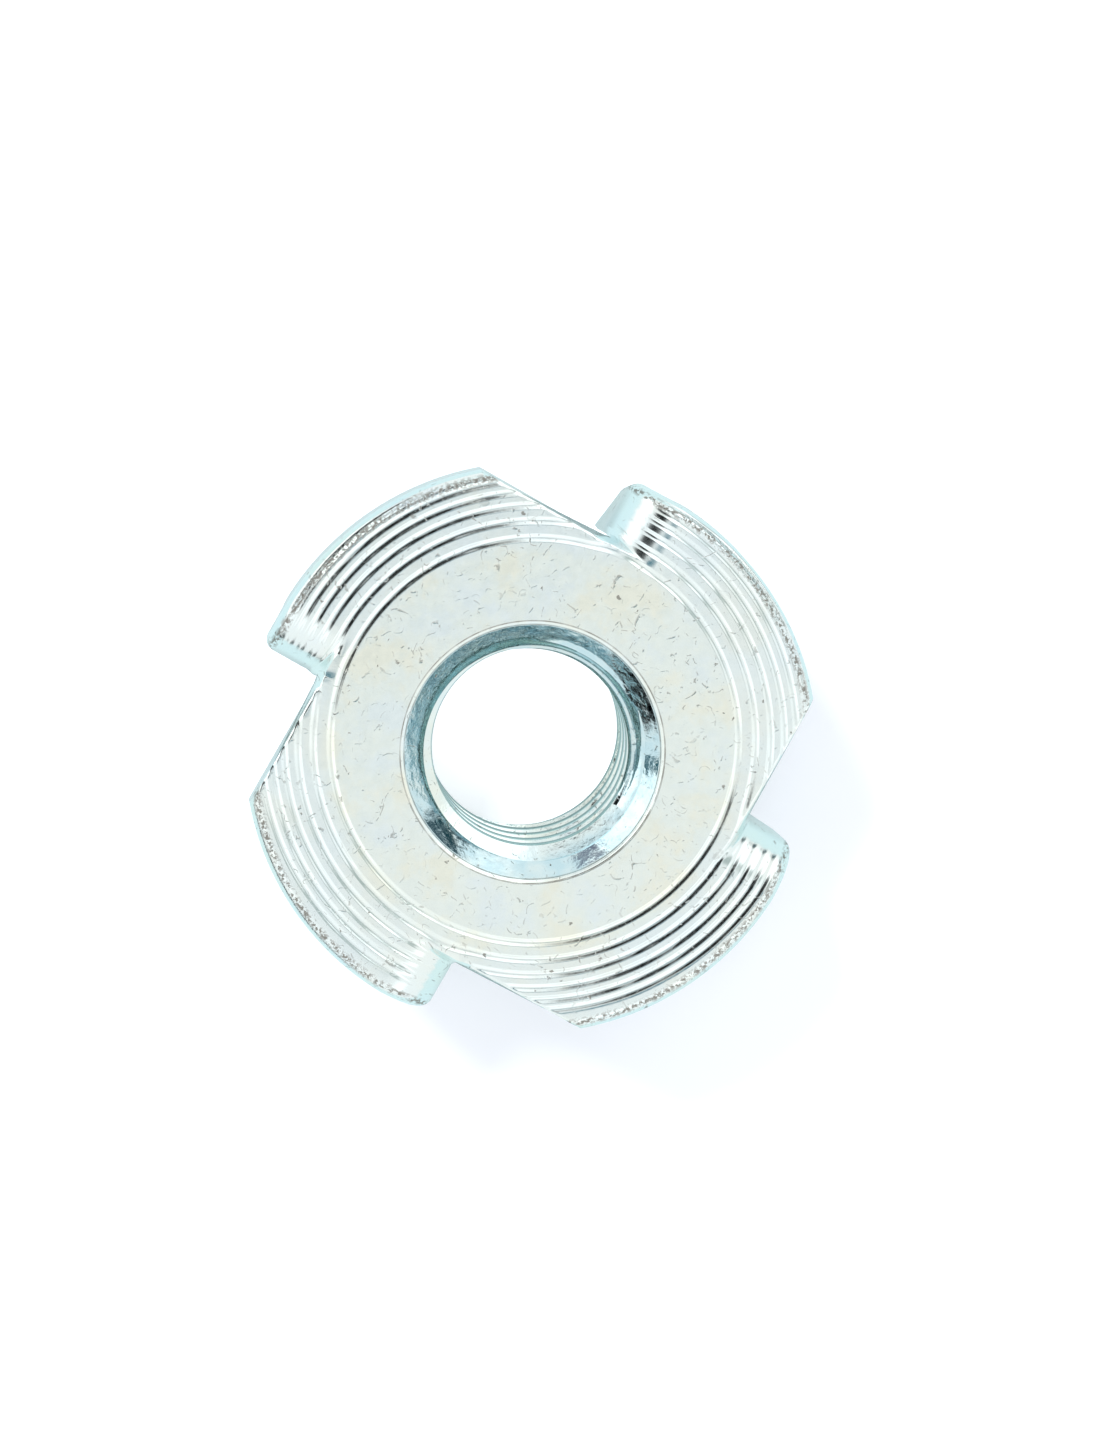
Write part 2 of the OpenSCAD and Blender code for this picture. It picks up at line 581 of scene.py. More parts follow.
@dataclass
class Prongs:
    """Four tabs, each freed by one straight slit from the rim and folded down about a radius.

    In a prong's own frame x runs out along the fold line and y out of the prong's face. A pair
    of lengths says where a form has faded out and where it is full, measured from the slit, the
    fold line or the slit's torn end.
    """

    shape: DrawnBlank
    count: int = 4
    fold_angle: float = 60.0
    slit_r: float = 9.6
    offset: float = 1.9
    fold_r: float = 0.5
    shoulder: float = 4.2
    reach: float = 6.0
    tip_w: float = 0.35
    tear: float = 1.6
    web_in: float = 0.2
    web_out: float = 0.42
    spring_back: float = 0.9
    fillet: float = 0.16
    fillet_wide: float = 0.8
    fillet_grows: Pair = (0.2, 1.6)
    fillet_ends: Pair = (1.0, 0.0)
    slit_bulge: float = 0.2
    bulge_grows: Pair = (0.9, 2.2)
    bulge_ends: Pair = (5.0, 2.8)
    bulge_fades: float = 0.5
    rolled: tuple[float, ...] = (0.035, 0.08, 0.14)
    roll_depth: float = 0.07
    roll_opens: Pair = (-0.6, 0.2)
    flat_past_slit: Pair = (-0.1, 0.1)
    flat_past_fold: Pair = (0.3, 1.5)
    neutral: float = 0.45

    @property
    def beyond(self) -> float:
        """A distance that is past the whole blank."""
        return 2 * self.shape.flange_r

    @property
    def outer_r(self) -> float:
        """Outside radius of the fold."""
        return self.fold_r + self.shape.sheet_t

    @property
    def fold_y(self) -> float:
        """Where the fold starts, across the prong."""
        return self.offset - self.outer_r

    @property
    def fold_z(self) -> float:
        """Height of the fold's axis."""
        return self.shape.height - self.outer_r

    @property
    def bend_length(self) -> float:
        """Length of flat sheet that the fold takes up, along its neutral line."""
        return (self.fold_r + self.neutral * self.shape.sheet_t) * math.pi / 2

    @property
    def tip_y(self) -> float:
        """Where the tab ends on the flat blank, across the prong."""
        return self.fold_y + self.bend_length + self.reach - self.outer_r

    def rim_reach(self, y: float) -> float:
        """Gives how far out the rim of the flat blank lies, at distance y across a prong."""
        return math.sqrt(self.shape.flange_r**2 - y**2)

    def unfolded(self, at: np.ndarray) -> np.ndarray:
        """Tells how much of the sheet's flatness is left once the tabs are folded.

        Args:
            at: Places on the blank, in mm.

        Returns:
            1 for a place that stays flat, falling to 0 where a tab is well into its fold.
        """
        left = np.ones(len(at))
        for k in range(self.count):
            own = self.local(at, k)
            outward = ease(own[:, 0] - self.slit_r, *self.flat_past_slit)
            left *= 1 - outward * ease(own[:, 1] - self.fold_y, *self.flat_past_fold)
        return left

    def axes(self, k: int) -> tuple[Vector, Vector]:
        """Gives the x and y directions of prong k."""
        turn = Matrix.Rotation(math.radians(self.fold_angle + k * 360 / self.count), 3, "Z")
        return turn @ Vector((1, 0, 0)), turn @ Vector((0, 1, 0))

    def local(self, at: np.ndarray, k: int) -> np.ndarray:
        """Turns places into the frame of prong k."""
        ex, ey = self.axes(k)
        return np.column_stack((at @ np.array(ex), at @ np.array(ey), at[:, 2]))

    def world(self, at: np.ndarray, k: int) -> np.ndarray:
        """Turns places from the frame of prong k back to the row frame."""
        ex, ey = self.axes(k)
        return np.outer(at[:, 0], ex) + np.outer(at[:, 1], ey) + np.outer(at[:, 2], (0, 0, 1))

    def pick_sheet(self, blank: bpy.types.Object, k: int, x: Pair, y: Pair) -> None:
        """Selects the faces of the sheet that lie in a range of places near prong k.

        Args:
            blank: The blank, in object mode.
            k: The prong.
            x: The least and the greatest x in the prong's frame.
            y: The least and the greatest y there.
        """
        low = np.array((x[0], y[0], self.shape.under_z - 0.1))
        high = np.array((x[1], y[1], math.inf))
        pick_faces(blank, lambda at: ((self.local(at, k) > low) & (self.local(at, k) < high)).all(1))

    def score(self, blank: bpy.types.Object, k: int, along: int, at: float) -> None:
        """Cuts an edge through the selected faces, without parting them.

        Args:
            blank: Not used. The faces to be cut are those selected on the active object, in object
                mode.
            k: The prong.
            along: 0 or 1, for the prong's x or y axis, which the cut stands across.
            at: Where on that axis, in mm.
        """
        direction = self.axes(k)[along]
        edit("FACE")
        bpy.ops.mesh.bisect(plane_co=direction * at * MM, plane_no=direction, threshold=1e-8)
        bpy.ops.object.mode_set(mode="OBJECT")

    def mark_out(self, blank: bpy.types.Object, k: int) -> None:
        """Scores the fold line, the tip, the slit and the rows of the slit's rolled edges.

        Args:
            blank: The blank, in object mode.
            k: The prong.
        """
        slit, past = self.slit_r, self.beyond
        beside = ((slit - 1.0, slit + 1.0), (self.fold_y - 0.3, past))
        corner = ((slit - 1.2, slit + 1.2), (self.tear - 0.4, self.tear + 0.4))
        cuts = [(1, y, ((slit - 0.9, past), (y - 1.0, y + 1.0))) for y in (self.fold_y, self.tip_y)]
        cuts += [(0, slit, beside), (1, self.tear, corner)]
        cuts += [(0, slit + side * d, beside) for d in self.rolled for side in (-1, 1)]
        take(blank)
        for axis, at, (x, y) in cuts:
            self.pick_sheet(blank, k, x, y)
            self.score(blank, k, axis, at)

    def roll_slit_edges(self, blank: bpy.types.Object, k: int) -> None:
        """Draws the face down a little along both edges of the slit, as shearing does.

        Args:
            blank: The scored blank.
            k: The prong.
        """
        at = places(blank)
        own = self.local(at, k)
        top = (own[:, 2] > self.shape.height - 0.3) & (own[:, 1] > self.fold_y)
        away = np.clip(1 - np.abs(own[:, 0] - self.slit_r) / self.rolled[-1], 0, 1)
        opened = ease(own[:, 1] - self.tear, *self.roll_opens)
        at[:, 2] -= np.where(top, self.roll_depth * away**2 * opened, 0.0)
        set_places(blank, at)

    def folded(self, own: np.ndarray) -> np.ndarray:
        """Gives where flat places end up once their tab is folded down.

        Args:
            own: Places on the flat blank, in the prong's frame.

        Returns:
            The same places on the folded tab.
        """
        s = np.maximum(own[:, 1] - self.fold_y, 0.0)
        depth = self.shape.height - own[:, 2]
        bend = self.bend_length
        turn = np.clip(s / bend, 0, 1) * math.pi / 2
        past = np.maximum(s - bend, 0.0)
        arm = self.outer_r - depth
        low = self.outer_r * (1 - np.cos(turn)) + past
        bent_y = self.fold_y + bend
        shoulder_y = bent_y + self.shoulder - self.outer_r
        levels = (0.0, self.outer_r, self.shoulder, self.reach)
        reaches = (self.rim_reach(self.fold_y), self.rim_reach(bent_y),
                   self.rim_reach(shoulder_y), self.slit_r + self.tip_w)
        full = np.interp(low, levels, reaches)
        rim = np.sqrt(np.maximum(self.shape.flange_r**2 - own[:, 1] ** 2, 1.0))
        bulge = self.slit_bulge * ease(s, *self.bulge_grows) * ease(s, *self.bulge_ends)
        inner = self.slit_r + bulge
        share = (own[:, 0] - self.slit_r) / (rim - self.slit_r)
        beside = own[:, 0] + bulge * ease(self.slit_r - own[:, 0], self.bulge_fades, 0.0)
        outward = np.where(share > 0, inner + share * (full - inner), beside)
        bent = own.copy()
        moving = own[:, 1] > self.fold_y
        bent[moving, 0] = outward[moving]
        bent[moving, 1] = (self.fold_y + arm * np.sin(turn))[moving]
        bent[moving, 2] = (self.fold_z + arm * np.cos(turn) - past)[moving]
        return bent

    def settle(self, piece: bpy.types.Object, k: int, side: Side) -> None:
        """Folds the tab, or draws the flange down into the web at the slit's closed end.

        Args:
            piece: The tab, or the whole flange.
            k: The prong.
            side: Which of the two it is.
        """
        at = places(piece)
        own = self.local(at, k)
        share = ease(own[:, 0] - self.slit_r, -self.web_in, self.web_out)
        closed = ease(own[:, 1] - self.tear, self.spring_back, 0.0)
        if side is Side.TAB:
            weight = 1 - (1 - share) * closed
        else:
            weight = share * closed
            reach = (own[:, 1] > self.fold_y) & (own[:, 0] > self.slit_r - 1.0)
            weight = np.where(reach & self.in_sheet(own), weight, 0.0)
        eased = self.fillet * ease(np.abs(own[:, 0] - self.slit_r), self.fillet_wide, 0.0)
        eased *= ease(own[:, 1] - self.fold_y, *self.fillet_grows)
        eased *= ease(own[:, 1] - self.tear, *self.fillet_ends)
        own += (self.folded(own) - own) * weight[:, None]
        own[:, 0] += eased
        set_places(piece, self.world(own, k))

    def seam(self, own: np.ndarray) -> np.ndarray:
        """Tells which places lie where the tab stays joined to the flange.

        Args:
            own: Places on the flat blank, in the prong's frame.

        Returns:
            One truth value a row.
        """
        fold = (np.abs(own[:, 1] - self.fold_y) < ON_EDGE) & (own[:, 0] > self.slit_r - ON_EDGE)
        web = (np.abs(own[:, 0] - self.slit_r) < ON_EDGE) & (own[:, 1] < self.tear + ON_EDGE)
        return self.in_sheet(own) & (fold | (web & (own[:, 1] > self.fold_y - ON_EDGE)))

    def in_sheet(self, own: np.ndarray) -> np.ndarray:
        """Tells which places lie in the sheet, and not in the barrel below it."""
        return own[:, 2] > self.shape.under_z - 0.01

    def on_slit(self, own: np.ndarray) -> np.ndarray:
        """Tells which places lie on the slit, where it parts the sheet."""
        return (np.abs(own[:, 0] - self.slit_r) < ON_EDGE) & (own[:, 1] > self.tear - ON_EDGE)

    def on_tip(self, own: np.ndarray) -> np.ndarray:
        """Tells which places lie on the cut at the tab's tip."""
        return np.abs(own[:, 1] - self.tip_y) < ON_EDGE

    def free(self, blank: bpy.types.Object, k: int) -> bpy.types.Object:
        """Cuts the scrap away and parts the tab from the flange.

        Args:
            blank: The scored blank.
            k: The prong.

        Returns:
            The flat tab, as an object of its own.
        """
        take(blank)
        self.pick_sheet(blank, k, (self.slit_r, self.beyond), (self.tip_y, self.shape.flange_r + 0.5))
        edit("FACE")
        bpy.ops.mesh.delete(type="FACE")
        bpy.ops.object.mode_set(mode="OBJECT")
        self.pick_sheet(blank, k, (self.slit_r, self.beyond), (self.fold_y, self.tip_y))
        edit("FACE")
        bpy.ops.mesh.separate(type="SELECTED")
        bpy.ops.object.mode_set(mode="OBJECT")
        return next(o for o in bpy.context.selected_objects if o is not blank)

    def wall(self, piece: bpy.types.Object, k: int, edge: Mask, bridged: bool) -> None:
        """Closes a cut with a sheared face.

        Args:
            piece: The flange or the tab.
            k: The prong.
            edge: Tells which places in the prong's frame lie on the cut.
            bridged: True to join two chains of edges strip by strip, for a wall that will bend.
        """
        take(piece)
        pick_open_edges(piece, lambda at: edge(self.local(at, k)))
        edit("EDGE")
        if bridged:
            bpy.ops.mesh.bridge_edge_loops()
        else:
            bpy.ops.mesh.edge_face_add()
        bpy.ops.object.mode_set(mode="OBJECT")

    def join_tab(self, blank: bpy.types.Object, tab: bpy.types.Object, k: int) -> None:
        """Folds a closed tab and welds it back to the flange.

        Args:
            blank: The flange, closed at the slit.
            tab: The flat tab, closed too.
            k: The prong.
        """
        for piece, side in ((blank, Side.FLANGE), (tab, Side.TAB)):
            welds = self.seam(self.local(places(piece), k))
            self.settle(piece, k, side)
            pick_vertices(piece, welds)
        take(blank, tab)
        bpy.ops.object.join()
        edit("VERT")
        bpy.ops.mesh.remove_doubles(threshold=WELD)
        bpy.ops.object.mode_set(mode="OBJECT")

    def build(self, blank: bpy.types.Object) -> None:
        """Marks out, frees, folds and welds all the prongs.

        Args:
            blank: The tapped blank, which ends as the finished nut.
        """
        for k in range(self.count):
            self.mark_out(blank, k)
            self.roll_slit_edges(blank, k)
        keep_places(blank)
        for k in range(self.count):
            tab = self.free(blank, k)
            self.wall(blank, k, self.on_slit, bridged=False)
            self.wall(tab, k, self.on_slit, bridged=True)
            self.wall(tab, k, self.on_tip, bridged=False)
            self.join_tab(blank, tab, k)
        log.info("prongs: %d faces, %d open edges", len(blank.data.polygons), open_edges(blank).sum())


def keep_places(piece: bpy.types.Object) -> None:
    """Stores each vertex's place on the flat blank, for patterns that follow the sheet."""
    kept = piece.data.attributes.new(PLACE_ATTRIBUTE, "FLOAT_VECTOR", "POINT")
    kept.data.foreach_set("vector", read(piece.data.vertices, "co", 3).ravel())


# ---------------------------------------------------------------------------------------------
# Finishes


class Graph:
    """A node tree being filled in, for a material or the world."""

    def __init__(self, tree: bpy.types.NodeTree) -> None:
        """Starts with an empty tree."""
        self.tree = tree
        tree.nodes.clear()

    def add(self, kind: str, links: dict[Any, Any] | None = None, **settings: Any) -> Any:
        """Adds a node with its settings, its constant inputs and its links.

        Args:
            kind: The node's type without its ShaderNode prefix.
            links: For each input, by name or number, a constant, another node's output, or
                another node, which stands for the first output that it gives.
            settings: The node's own properties.

        Returns:
            The new node.
        """
        node = self.tree.nodes.new("ShaderNode" + kind)
        for name, value in settings.items():
            setattr(node, name, value)
        for name, value in (links or {}).items():
            if isinstance(value, bpy.types.Node):
                value = next(output for output in value.outputs if output.enabled)
            if isinstance(value, bpy.types.NodeSocket):
                self.tree.links.new(value, node.inputs[name])
            else:
                node.inputs[name].default_value = value
        return node


def per_mm(size: float) -> float:
    """Gives the texture scale, per metre, at which one feature is this many mm across."""
    return 1.0 / (size * MM)


@dataclass(frozen=True)
class ZincPlate:
    """Bright electroplated zinc with a clear blue passivation, on stamped sheet steel.

    To the eye it is a pale, slightly greenish mirror that is a little dull: soft patches of
    cream and of blue where the passivation is thicker or thinner, fine pits and short curved
    scratches from tumbling in a barrel with other nuts, a grainy grey line where the rim is
    rolled, and matt grey where the punch broke the sheet. Painted shade is laid on too: a darker
    teal in the mouth, dull teal-grey on the thread's crests and thin grey lines on the lip's edges.
    """

    face_z: float
    rim_r: float
    mouth_r: float
    crest_r: float
    slit_r: float
    slit_turn: float
    name: str = "bright_zinc_plate"
    mint: str = "#E5EEE9"
    cream: str = "#E9EBDC"
    blue: str = "#E0ECEF"
    # painted shade: darker teal laid in the mouth for the teal that the funnel reflects
    mouth_painted_shade: str = "#BFDBE2"
    # painted shade: dull teal-grey on the thread's crests
    crest_painted_shade: str = "#93ABAA"
    # grey of pits, scratches and rim grain, and painted shade on the lip's edges
    soil_and_lip_shade: str = "#87847D"
    torn: str = "#E2E6E6"
    roughness: float = 0.16

    def build(self) -> bpy.types.Material:
        """Makes the material, whose patterns follow each point's place on the flat blank.

        Returns:
            The material.
        """
        material = bpy.data.materials.new(self.name)
        material.use_nodes = True
        g = Graph(material.node_tree)
        place = g.add("Attribute", attribute_name=PLACE_ATTRIBUTE).outputs["Vector"]
        flat = g.add("VectorMath", {0: place, 1: (1.0, 1.0, 0.0)}, operation="MULTIPLY")
        radius = g.add("VectorMath", {0: flat}, operation="LENGTH")
        inside = g.add("MapRange", {0: radius, 1: (self.mouth_r - 0.1) * MM,
                                    2: (self.mouth_r - 0.2) * MM})

        # the plate's own grain, under half a millimetre, dulls it unevenly
        mottle = g.add("TexNoise", {"Vector": place, "Scale": per_mm(0.4), "Detail": 4.0,
                                    "Roughness": 0.62})
        torn = self.torn_edges(g, place, radius)
        # pits, scratches and rim grain are the plate's own; the lip's edge lines are painted shade
        marks_and_lip_shade: Any = 0.0
        for layer, strength in (
            (self.pits(g, place), 0.8),
            (self.scratches(g, place), 0.6),
            (self.rim_grain(g, place, radius), 0.9),
            (self.lip_edge_painted_shade(g, place, radius), 1.0),
        ):
            faded = g.add("Math", {0: layer, 1: strength}, operation="MULTIPLY")
            marks_and_lip_shade = g.add("Math", {0: marks_and_lip_shade, 1: faded}, operation="MAXIMUM")
        colour = g.add("Mix", {0: marks_and_lip_shade, 6: self.tint_and_painted_shade(g, place, radius, inside),
                               7: linear(self.soil_and_lip_shade)}, data_type="RGBA")
        colour = g.add("Mix", {0: torn, 6: colour, 7: linear(self.torn)}, data_type="RGBA")

        rough = g.add("MapRange", {0: mottle, 1: 0.3, 2: 0.7, 3: self.roughness - 0.04,
                                   4: self.roughness + 0.07})
        rough = g.add("Math", {0: inside, 1: -0.07, 2: rough}, operation="MULTIPLY_ADD")
        for layer, strength in ((marks_and_lip_shade, 0.6), (torn, 0.3)):
            dulled = g.add("Math", {0: layer, 1: strength}, operation="MULTIPLY")
            rough = g.add("Math", {0: rough, 1: dulled}, operation="MAXIMUM")

        # small dents inside the mouth, where the punch drew the steel
        dents = g.add("TexNoise", {"Vector": place, "Scale": per_mm(0.45), "Detail": 3.0})
        dents = g.add("Math", {0: dents, 1: inside}, operation="MULTIPLY")
        lift: Any = 0.0
        for layer, rise in ((mottle, 0.3), (marks_and_lip_shade, -1.0), (torn, -1.2), (dents, 2.2)):
            lift = g.add("Math", {0: layer, 1: rise, 2: lift}, operation="MULTIPLY_ADD")
        relief = g.add("Bump", {"Height": lift, "Strength": 0.4, "Distance": 0.02 * MM})
        shader = g.add("BsdfPrincipled", {"Base Color": colour, "Metallic": 1.0,
                                          "Roughness": rough, "Normal": relief})
        g.add("OutputMaterial", {"Surface": shader})
        return material

    def tint_and_painted_shade(self, g: Graph, place: Any, radius: Any, inside: Any) -> Any:
        """Makes the passivation's colour, which drifts over two or three millimetres, with painted
        shade in the mouth and on the thread's crests.

        Args:
            g: The material's node tree.
            place: Each point's place on the flat blank.
            radius: Its distance from the axis.
            inside: 1 in the mouth and the bore, 0 outside.

        Returns:
            The node that gives the colour.
        """
        height = g.add("SeparateXYZ", {0: place}).outputs["Z"]
        drift = g.add("TexNoise", {"Vector": place, "Scale": per_mm(2.6), "Detail": 5.0,
                                   "Roughness": 0.6})
        # painted shade: the mouth's darker teal, strongest near the top of the mouth
        mouth_shade_share = g.add("TexNoise", {"Vector": place, "Scale": per_mm(0.9), "Detail": 4.0})
        mouth_shade_share = g.add("MapRange", {0: mouth_shade_share, 1: 0.35, 2: 0.6, 3: 0.55, 4: 1.0})
        above = g.add("MapRange", {0: height, 1: (self.face_z - 1.5) * MM,
                                   2: (self.face_z - 1.1) * MM, 3: 0.35})
        mouth_shade_share = g.add("Math", {0: mouth_shade_share, 1: above}, operation="MULTIPLY")
        colour: Any = linear(self.mint)
        for share, code in (
            (g.add("MapRange", {0: drift, 1: 0.5, 2: 0.62, 4: 0.75}), self.cream),
            (g.add("MapRange", {0: drift, 1: 0.47, 2: 0.36, 4: 0.7}), self.blue),
            (g.add("MapRange", {0: radius, 1: 8.7 * MM, 2: 9.4 * MM, 4: 0.55}), self.blue),
            # painted shade in the mouth
            (g.add("Math", {0: inside, 1: mouth_shade_share}, operation="MULTIPLY"), self.mouth_painted_shade),
            # painted shade on the thread's crests
            (g.add("MapRange", {0: radius, 1: (self.crest_r + 0.05) * MM,
                                2: (self.crest_r + 0.01) * MM}), self.crest_painted_shade),
        ):
            colour = g.add("Mix", {0: share, 6: colour, 7: linear(code)}, data_type="RGBA")
        return colour

    def pits(self, g: Graph, place: Any) -> Any:
        """Makes ragged pits a tenth to a fifth of a millimetre across, in loose clusters.

        Args:
            g: The material's node tree.
            place: Each point's place on the flat blank.

        Returns:
            The node that gives 1 in a pit and 0 outside.
        """
        warp = g.add("TexNoise", {"Vector": place, "Scale": per_mm(0.2), "Detail": 2.0})
        pushed = g.add("VectorMath", {0: warp.outputs["Color"], 1: (0.5, 0.5, 0.5)},
                       operation="SUBTRACT")
        pushed = g.add("VectorMath", {0: pushed, "Scale": 0.3 * MM}, operation="SCALE")
        moved = g.add("VectorMath", {0: place, 1: pushed}, operation="ADD")
        cell = g.add("TexVoronoi", {"Vector": moved, "Scale": per_mm(0.42)})
        lot = g.add("SeparateColor", {0: cell.outputs["Color"]})
        size = g.add("MapRange", {0: lot, 1: 0.66, 4: 0.26})
        cluster = g.add("TexNoise", {"Vector": place, "Scale": per_mm(2.4), "Detail": 2.0})
        cluster = g.add("MapRange", {0: cluster, 1: 0.42, 2: 0.6, 3: 0.25})
        size = g.add("Math", {0: size, 1: cluster}, operation="MULTIPLY")
        depth = g.add("Math", {0: size, 1: cell}, operation="SUBTRACT")
        return g.add("MapRange", {0: depth, 2: 0.07})

    def scratches(self, g: Graph, place: Any) -> Any:
        """Makes fine curved scratches, half a millimetre to a millimetre and a half long.

        Args:
            g: The material's node tree.
            place: Each point's place on the flat blank.

        Returns:
            The node that gives 1 on a scratch and 0 beside it.
        """
        kept: Any = 0.0
        for size, offset in ((0.9, 0.0), (1.4, 7.3), (2.1, 15.1)):
            held = g.add("Mapping", {"Vector": place, "Location": (offset * MM, offset * MM, 0)})
            level = g.add("TexNoise", {"Vector": held, "Scale": per_mm(size), "Detail": 1.2})
            ridge = g.add("Math", {0: level, 1: 0.5}, operation="SUBTRACT")
            ridge = g.add("Math", {0: ridge}, operation="ABSOLUTE")
            line = g.add("MapRange", {0: ridge, 1: 0.011, 2: 0.003})
            broken = g.add("TexNoise", {"Vector": held, "Scale": per_mm(0.32), "Detail": 2.0})
            broken = g.add("MapRange", {0: broken, 1: 0.56, 2: 0.62})
            line = g.add("Math", {0: line, 1: broken}, operation="MULTIPLY")
            kept = g.add("Math", {0: kept, 1: line}, operation="MAXIMUM")
        cluster = g.add("TexNoise", {"Vector": place, "Scale": per_mm(2.0), "Detail": 2.0})
        cluster = g.add("MapRange", {0: cluster, 1: 0.42, 2: 0.6, 3: 0.3})
        return g.add("Math", {0: kept, 1: cluster}, operation="MULTIPLY")

    def rim_grain(self, g: Graph, place: Any, radius: Any) -> Any:
        """Makes the grainy line on the inner side of the rolled rim.

        Args:
            g: The material's node tree.
            place: Each point's place on the flat blank.
            radius: Its distance from the axis.

        Returns:
            The node that gives 1 on a speck of the line and 0 beside it.
        """
        away = g.add("Math", {0: radius, 1: (self.rim_r - 0.38) * MM}, operation="SUBTRACT")
        away = g.add("Math", {0: away}, operation="ABSOLUTE")
        near = g.add("MapRange", {0: away, 1: 0.24 * MM, 2: 0.06 * MM})
        speck = g.add("TexNoise", {"Vector": place, "Scale": per_mm(0.17), "Detail": 3.0,
                                   "Roughness": 0.7})
        speck = g.add("MapRange", {0: speck, 1: 0.47, 2: 0.55})
        return g.add("Math", {0: near, 1: speck}, operation="MULTIPLY")

    def lip_edge_painted_shade(self, g: Graph, place: Any, radius: Any) -> Any:
        """Makes the hair-thin grey lines on both edges of the coined lip, painted shade where its
        edges turn.

        Args:
            g: The material's node tree.
            place: Each point's place on the flat blank.
            radius: Its distance from the axis.

        Returns:
            The node that gives each line's strength.
        """
        kept: Any = 0.0
        for edge, strength in ((self.mouth_r, 0.8), (self.mouth_r - 0.18, 0.6)):
            away = g.add("Math", {0: radius, 1: edge * MM}, operation="SUBTRACT")
            away = g.add("Math", {0: away}, operation="ABSOLUTE")
            near = g.add("MapRange", {0: away, 1: 0.045 * MM, 2: 0.02 * MM, 4: strength})
            kept = g.add("Math", {0: kept, 1: near}, operation="MAXIMUM")
        # breaks the painted shade lines up along their length
        lip_shade_breaks = g.add("TexNoise", {"Vector": place, "Scale": per_mm(0.8), "Detail": 3.0})
        lip_shade_breaks = g.add("MapRange", {0: lip_shade_breaks, 1: 0.35, 2: 0.6, 3: 0.35})
        return g.add("Math", {0: kept, 1: lip_shade_breaks}, operation="MULTIPLY")

    def torn_edges(self, g: Graph, place: Any, radius: Any) -> Any:
        """Finds the lower part of every sheared edge, where the sheet broke off.

        Args:
            g: The material's node tree.
            place: Each point's place on the flat blank.
            radius: Its distance from the axis.

        Returns:
            The node that gives 1 on the broken part and 0 elsewhere.
        """
        turn = math.radians(self.slit_turn)
        across: Any = 0.0
        for axis in ((math.cos(turn), math.sin(turn), 0), (-math.sin(turn), math.cos(turn), 0)):
            along = g.add("VectorMath", {0: place, 1: axis}, operation="DOT_PRODUCT")
            along = g.add("Math", {0: along}, operation="ABSOLUTE")
            across = g.add("Math", {0: across, 1: along}, operation="MAXIMUM")
        slit = g.add("Math", {0: across, 1: self.slit_r * MM, 2: 0.012 * MM},
                     operation="COMPARE")
        rim = g.add("Math", {0: radius, 1: (self.rim_r - 0.02) * MM}, operation="GREATER_THAN")
        edge = g.add("Math", {0: slit, 1: rim}, operation="MAXIMUM")
        height = g.add("SeparateXYZ", {0: place}).outputs["Z"]
        streak = g.add("Mapping", {"Vector": place, "Scale": (1.0, 1.0, 0.12)})
        ragged = g.add("TexNoise", {"Vector": streak, "Scale": per_mm(0.16), "Detail": 3.0})
        height = g.add("Math", {0: ragged, 1: 0.9 * MM, 2: height}, operation="MULTIPLY_ADD")
        low = g.add("MapRange", {0: height, 1: (self.face_z - 0.5) * MM,
                                 2: (self.face_z - 0.65) * MM})
        return g.add("Math", {0: edge, 1: low}, operation="MULTIPLY")


# ---------------------------------------------------------------------------------------------
# The studio


def aim(azimuth: float, polar: float) -> tuple[float, float, float]:
    """Gives the direction at an azimuth and an angle from straight up, both in degrees."""
    around, down = math.radians(azimuth), math.radians(polar)
    return (math.sin(down) * math.cos(around), math.sin(down) * math.sin(around), math.cos(down))


@dataclass(frozen=True)
class Card:
    """A soft card or flag in the studio's white dome, given by the direction it stands in."""

    azimuth: float
    polar: float
    half_across: float
    half_up: float
    colour: str
    strength: float = 1.0
    soft: float = 0.35


